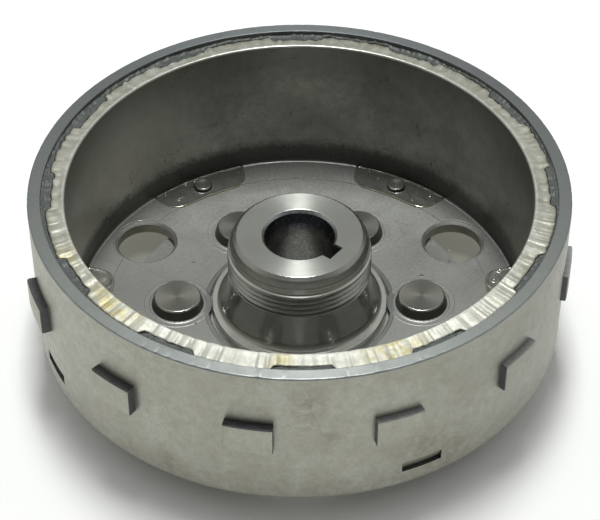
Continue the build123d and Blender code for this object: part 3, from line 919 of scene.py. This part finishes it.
def sleeve():
    """The thin sleeve: windowed bottom flange, wall, rolled edge and pleated top flange.
    It gives back the top flange's radius at each of its angles."""
    steps = 1800
    angles = np.arange(steps) * 360 / steps
    pleat = pleats(angles)
    edge = lobes(angles) + 0.3 * (np.minimum(pleat, 1.2) - 0.5)
    outside = SLEEVE_RADIUS + SHEET
    foot = eased([
        (outside, FLOOR, 0.4),
        (LIP_RADIUS, FLOOR, 0.03),
        (LIP_RADIUS, FLOOR + FOOT_SHEET, 0.02),
        (SLEEVE_RADIUS - 1.6, FLOOR + FOOT_SHEET, 0),
        (SLEEVE_RADIUS, FLOOR + FOOT_SHEET, 0.9),
        (SLEEVE_RADIUS, FLOOR + 8, 0),
    ], 3)
    start = SLEEVE_RADIUS + ROLL    # the top flange begins here, at the top of the rolled edge
    foot += [(start - ROLL * cos(t), SLEEVE_TOP - ROLL + ROLL * sin(t)) for t in np.linspace(0, pi / 2, 7)]
    radii, heights = repeated(foot, steps)
    wave = 0.28 * (pleat - 1.7) + 0.03 * ripple(angles, 150, 400, 40)
    rolled = 0.1 + 0.4 * step_up(0.1, -0.6, np.sin(np.radians(angles)))    # the roll waves most in front
    heights = heights + (rolled * wave)[:, None] * step_up(SLEEVE_TOP - 1.5, SLEEVE_TOP, heights)
    sag = 0.3 + 0.08 * ripple(angles, 3, 14, 8)

    def across(shares, level, lifts):
        """Radii and heights of a flange surface at some shares of its width."""
        ramp = rolled[:, None] + (1 - rolled[:, None]) * step_up(0.0, 0.45, shares)
        return (start + (edge[:, None] - start) * shares,
                level - sag[:, None] * shares ** 1.3 + wave[:, None] * ramp + lifts)

    top = across(np.array([0.1, 0.22, 0.36, 0.5, 0.64, 0.78, 0.9, 0.97, 1.0]), SLEEVE_TOP,
                 np.array([0, 0, 0, 0, 0, 0, -0.01, -0.06, -0.16]))
    under = across(np.array([1.0, 0.97, 0.78, 0.5, 0.22]), SLEEVE_TOP - SHEET,
                   np.array([0.14, 0.04, 0, 0, 0]))
    under[0][:, 0] -= 0.01
    back = repeated([(start + 0.05, SLEEVE_TOP - SHEET - 0.25), (outside + 0.1, SLEEVE_TOP - 1.1),
                     (outside, SLEEVE_TOP - 1.5)], steps)
    radii, heights = (np.hstack(parts) for parts in zip((radii, heights), top, under, back))
    body = piece("magnet_sleeve_shell", *spun(radii, heights, angles))
    window, sides = slab(window_outline(), FLOOR - 1, FLOOR + SHEET + 1)
    cuts = [(turned_about(window, 60 * k), sides) for k in range(6)]
    hole = [(0, FLOOR - 1), (FLANGE_HOLE, FLOOR - 1), (FLANGE_HOLE, FLOOR + 0.1),
            (FLANGE_HOLE + 0.15, FLOOR + FOOT_SHEET), (FLANGE_HOLE + 0.9, FLOOR + 1.5), (0, FLOOR + 1.5)]
    cuts += [lathe(hole, 128, hole_place(k)) for k in range(3)]
    combine(body, cuts, "DIFFERENCE")
    finish_piece(body, "sleeve_steel", ["magnet_sleeve"], 40)

    def finish_of(centre, radius, normal):
        if radius > start - 0.15 and centre.z > SLEEVE_TOP - 2:
            return "lip"
        if centre.z > SLEEVE_TOP - ROLL - 0.1:
            return "roll"
        return "foot" if radius < SLEEVE_RADIUS - 0.4 else "wall"

    dress(body, {
        "wall": sleeve_wall_steel(),
        "lip": sleeve_lip_steel(),
        "foot": plate_steel("sleeve_foot"),
        "roll": turned_steel("sleeve_roll", (0.64, 0.64, 0.6), (0.52, 0.52, 0.48), (0.34, 0.44), 0.3),
    }, finish_of)
    return edge


def window_outline():
    """One window in the sleeve's bottom flange, as points round it, about +X."""
    half = [(SLEEVE_RADIUS, 14.0), (51.5, 13.7), (49.8, 13.3), (48.6, 12.4), (47.75, 10.9), (47.0, 9.8),
            (46.6, 9.4)]
    side = [on_circle(r, a) for r, a in half]
    inner = [on_circle(46.6, a) for a in np.linspace(9.4, -9.4, 14)[1:-1]]
    other = [(x, -y) for x, y in side[::-1]]
    outer = [on_circle(SLEEVE_RADIUS, a) for a in np.linspace(-14.0, 14.0, 24)[1:-1]]
    return side + inner + other + outer


def slab(outline, low, high):
    """A flat-topped solid over a plan outline."""
    count = len(outline)
    verts = [(x, y, low) for x, y in outline] + [(x, y, high) for x, y in outline]
    faces = [list(range(count))[::-1], list(range(count, 2 * count))]
    faces += [[k, (k + 1) % count, (k + 1) % count + count, k + count] for k in range(count)]
    return np.array(verts), faces


def pool_outline(count):
    """Plan outline of a pool of resin about +X: evenly spaced points, smoothed, just inside the window."""
    brim = SLEEVE_RADIUS - 0.05
    corner = [(brim, 13.9), (54.2, 13.85), (51.5, 13.6), (49.9, 13.2), (48.6, 12.3), (47.6, 10.9),
              (47.12, 9.6), (47.0, 7.5), (46.95, 4.0), (47.0, 0.0)]
    side = [on_circle(r, a) for r, a in corner]
    other = [(x, -y) for x, y in side[-2::-1]]
    outer = [on_circle(brim, a) for a in np.linspace(-13.9, 13.9, 30)[1:-1]]
    closed = np.array(side + other + outer + side[:1])
    lengths = np.append(0, np.cumsum(np.linalg.norm(np.diff(closed, axis=0), axis=1)))
    spots = np.linspace(0, lengths[-1], count, endpoint=False)
    points = np.stack([np.interp(spots, lengths, column) for column in closed.T], -1)
    for _ in range(3):
        points = (np.roll(points, 1, 0) + 2 * points + np.roll(points, -1, 0)) / 4
    return points


BEAD = (                # inset from the pool's edge and lift above the sheet
    (0.0, 0.0), (0.05, 0.08), (0.13, 0.13), (0.22, 0.12), (0.34, 0.05), (0.5, 0.0), (0.75, -0.04),
    (1.0, -0.05),
)
MENISCUS = (            # share of the way from the bead to the stud, and lift
    (0.15, -0.05), (0.3, -0.05), (0.45, -0.05), (0.6, -0.05), (0.75, -0.04), (0.9, -0.02), (0.96, 0.02),
    (1.0, 0.06),
)


def unit(vectors):
    """Each vector at length 1."""
    return vectors / np.linalg.norm(vectors, axis=1)[:, None]


def pool_points(outline, dent_angle):
    """Points of one pool about +X, ring by ring: up its edge, over the bead, and in to the stud's hole."""
    middle = np.array([STUD_CIRCLE, 0.0])
    count = len(outline)
    wobble = 0.1 * ripple(np.linspace(0, 360, count, endpoint=False), 3, 12, 8)
    tangent = np.roll(outline, -1, 0) - np.roll(outline, 1, 0)
    normal = unit(np.stack([-tangent[:, 1], tangent[:, 0]], -1))
    inward = unit(middle - outline)
    slant = np.clip((normal * inward).sum(1), 0.45, 1)

    def ring(flat, lift):
        return np.column_stack([flat, np.full(count, FLOOR + lift)])

    rings = [ring(outline, 0.02)]
    for away, lift in BEAD:
        move = (away + (0.2 + wobble) * min(away / 0.2, 1)) / slant
        last = outline + inward * move[:, None]
        rings.append(ring(last, FOOT_SHEET + lift))
    hole = middle + unit(last - middle) * STUD_RADIUS
    for share, lift in MENISCUS:
        rings.append(ring(last + (hole - last) * share, FOOT_SHEET + lift))
    rings.append(ring(hole, 0.02))
    verts = np.concatenate(rings)
    near = np.linalg.norm(verts[:, :2] - on_circle(49.3, dent_angle), axis=1)
    dent = 0.14 * np.exp(-((near - 1.7) / 0.35) ** 2) - 0.18 * np.exp(-(near / 1.2) ** 2)
    verts[:, 2] += np.where(verts[:, 2] > FLOOR + 0.05, dent, 0)
    return verts


def pools():
    """Six pools of clear resin, each with a raised bead round its edge, a hole for its stud and a dent."""
    materials = {
        "resin": clear_resin(),
        "bead": dull("resin_bead", (0.36, 0.34, 0.25), (0.26, 0.25, 0.18), 0.2, 0.5, 1.5, 0.02),
    }
    count = 160
    outline = pool_outline(count)
    for k in range(6):
        verts = pool_points(outline, -8.6 if k % 2 else 8.6)
        total = len(verts)
        faces = []
        for i in range(0, total, count):
            ahead = (i + count) % total
            for j in range(count):
                beside = (j + 1) % count
                faces.append([i + j, i + beside, ahead + beside, ahead + j])
        pool = piece(f"window_resin_{k + 1}", turned_about(verts, 60 * k), faces, "clear_resin",
                     ["window_resin"], 60)

        def finish_of(centre, radius, normal):
            spot = turned_about([centre], -60 * k)[0, :2]
            return "bead" if np.linalg.norm(outline - spot, axis=1).min() < 0.3 else "resin"

        dress(pool, materials, finish_of)


def studs():
    """Six studs with flat tops painted bright, as painted light, and sides painted dark, as painted shade.
    """
    materials = {
        "top": turned_steel("stud_top_painted_light", (0.72, 0.72, 0.69), (0.5, 0.5, 0.47), (0.25, 0.4), 0.3),
        "side": turned_steel("stud_side_painted_shade", (0.1, 0.1, 0.095), (0.06, 0.06, 0.055), (0.3, 0.4), 0.3),
    }
    outline = eased([
        (0, FLANGE_TOP + 0.02, 0),
        (STUD_RADIUS - 0.02, FLANGE_TOP + 0.02, 0.1),
        (STUD_RADIUS - 0.02, STUD_TOP - 0.35, 0.3),
        (STUD_RADIUS - 0.3, STUD_TOP - 0.02, 0.2),
        (STUD_RADIUS - 1.2, STUD_TOP - 0.12, 0.3),
        (0, STUD_TOP - 0.2, 0),
    ])
    for k in range(6):
        verts, faces = lathe(outline, 64, stud_place(k))
        stud = piece(f"locating_stud_{k + 1}", verts, faces, "hub_steel", ["locating_studs"], 35)
        dress(stud, materials, lambda centre, radius, normal: "side" if normal.z < 0.6 else "top")


def potting(resin, edge):
    """The resin's uneven top: it wells up between the edge of the sleeve's flange and the cup's wall."""
    steps = len(edge)
    angles = np.arange(steps) * 360 / steps
    across = np.linspace(0, 1, 24)
    inner, outer = SLEEVE_RADIUS + SHEET + 0.05, POTTING_RADIUS - 0.02
    top_r = np.tile(inner + (outer - inner) * across, (steps, 1))
    rough = 0.18 * ripple(angles, 6, 60, 16)[:, None]
    rough = rough + 0.09 * ripple(angles, 90, 260, 30)[:, None] * across
    well = step_up(-0.1, 0.15, top_r - edge[:, None])
    low_z = RESIN_TOP - 0.1
    swell = SLEEVE_TOP - 0.8 - low_z + 0.08 * ripple(angles, 20, 120, 20)[:, None]
    creep = 0.3 * step_up(0.8, 1.0, across)
    top_z = low_z + (swell + rough + creep) * well
    under_r, under_z = repeated([(outer, RESIN_TOP - 1.0), (inner, RESIN_TOP - 1.0)], steps)
    verts, faces = spun(np.hstack([top_r, under_r]), np.hstack([top_z, under_z]), angles)
    skin = piece("potting_skin", verts, faces, "potting")
    skin.data.materials.append(resin)


# ---- build

resin = potting_resin()
cup(resin)
hub()
rivets()
edge = sleeve()
pools()
studs()
potting(resin, edge)

ferrite = dull("magnet_ferrite", (0.09, 0.09, 0.1), (0.05, 0.05, 0.055), 0.6, 0.2)
moulded = dull("spacer_plastic", (0.12, 0.12, 0.12), (0.07, 0.07, 0.07), 0.55)
for name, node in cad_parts.items():
    finish = {"magnet_spacer_ring": moulded, "potting_resin": resin}.get(name, ferrite)
    node.data.materials.clear()
    node.data.materials.append(finish)


# ---- stage, light and camera

def ground():
    """White paper that glows a little, so that it stays pale; under the cup a ring of it is painted dark as
    painted shadow and given a faint beige glow, so that what shows through the holes is darker.
    """
    mesh = bpy.data.meshes.new("ground")
    half = 3.0
    corners = [(-half, -half, 0), (half, -half, 0), (half, half, 0), (-half, half, 0)]
    mesh.from_pydata(corners, [], [(0, 1, 2, 3)])
    thing = bpy.data.objects.new("ground", mesh)
    bpy.context.scene.collection.objects.link(thing)
    s = Surface("ground_paper", Roughness=0.8)
    radius = s.radius()
    paper = s.blend(s.noise(60, 3, 0.5), (0.92, 0.92, 0.92), (0.88, 0.88, 0.88))
    # painted shadow: a dark ring of paper under the cup, except in front (-Y), with a faint beige glow
    painted_shadow_ring = s.calc("MULTIPLY", s.span(radius, 36 * MM, 42 * MM), s.span(radius, 62 * MM, 56 * MM))
    painted_shadow_ring = s.calc("MULTIPLY", painted_shadow_ring, s.span(s.part(s.place, 1), -30 * MM, -15 * MM))
    s.put("Base Color", s.blend(painted_shadow_ring, paper, (0.12, 0.118, 0.1)))
    s.put("Emission Color", s.blend(painted_shadow_ring, (1.0, 1.0, 1.0), (1.0, 0.98, 0.84)))
    glow = s.calc("ADD", s.span(radius, 57 * MM, 74 * MM, 0.03, 0.19), s.calc("MULTIPLY", painted_shadow_ring, 0.12))
    s.put("Emission Strength", glow)
    mesh.materials.append(s.material)


def lamp(name, place, size, power, colour):
    """A soft rectangular lamp that faces the flywheel's middle."""
    data = bpy.data.lights.new(name, "AREA")
    data.shape = "RECTANGLE"
    data.size, data.size_y = size
    data.energy = power
    data.color = colour
    thing = bpy.data.objects.new(name, data)
    thing.location = place
    thing.rotation_euler = (Vector((0, 0, 0.02)) - Vector(place)).to_track_quat("-Z", "Y").to_euler()
    bpy.context.scene.collection.objects.link(thing)


def sky():
    """Soft light from all round, but for a dark part of the room in front, above the cup."""
    world = bpy.data.worlds.new("studio")
    bpy.context.scene.world = world
    world.use_nodes = True
    nodes, links = world.node_tree.nodes, world.node_tree.links
    heading = nodes.new("ShaderNodeTexCoord")
    rise = nodes.new("ShaderNodeVectorMath")
    rise.operation = "DOT_PRODUCT"
    rise.inputs[1].default_value = (0.0, -0.77, 0.64)
    links.new(heading.outputs["Generated"], rise.inputs[0])
    share = nodes.new("ShaderNodeMapRange")
    for socket, value in {"From Min": 0.45, "From Max": 0.85, "To Min": 0.42, "To Max": 0.08}.items():
        share.inputs[socket].default_value = value
    links.new(rise.outputs["Value"], share.inputs["Value"])
    links.new(share.outputs[0], nodes["Background"].inputs["Strength"])
    nodes["Background"].inputs["Color"].default_value = (0.985, 1.0, 0.95, 1)


def camera():
    """A long lens in front of the cup, looking down at it."""
    elevation, distance, aim = radians(43.68), 7.927 * CUP_RADIUS * MM, Vector((0, 0, 0.0098))
    data = bpy.data.cameras.new("camera")
    thing = bpy.data.objects.new("camera", data)
    thing.location = aim + Vector((0, -distance * cos(elevation), distance * sin(elevation)))
    thing.rotation_euler = (aim - thing.location).to_track_quat("-Z", "Y").to_euler()
    data.sensor_width = 36
    data.lens = 122.49
    data.shift_x, data.shift_y = 0.0008, 0.0712
    bpy.context.scene.collection.objects.link(thing)
    bpy.context.scene.camera = thing


ground()
sky()
lamp("overhead", (0.0, 0.22, 1.3), (0.22, 0.5), 12.0, (0.98, 1.0, 0.98))
camera()
bpy.context.scene.view_settings.view_transform = "Standard"
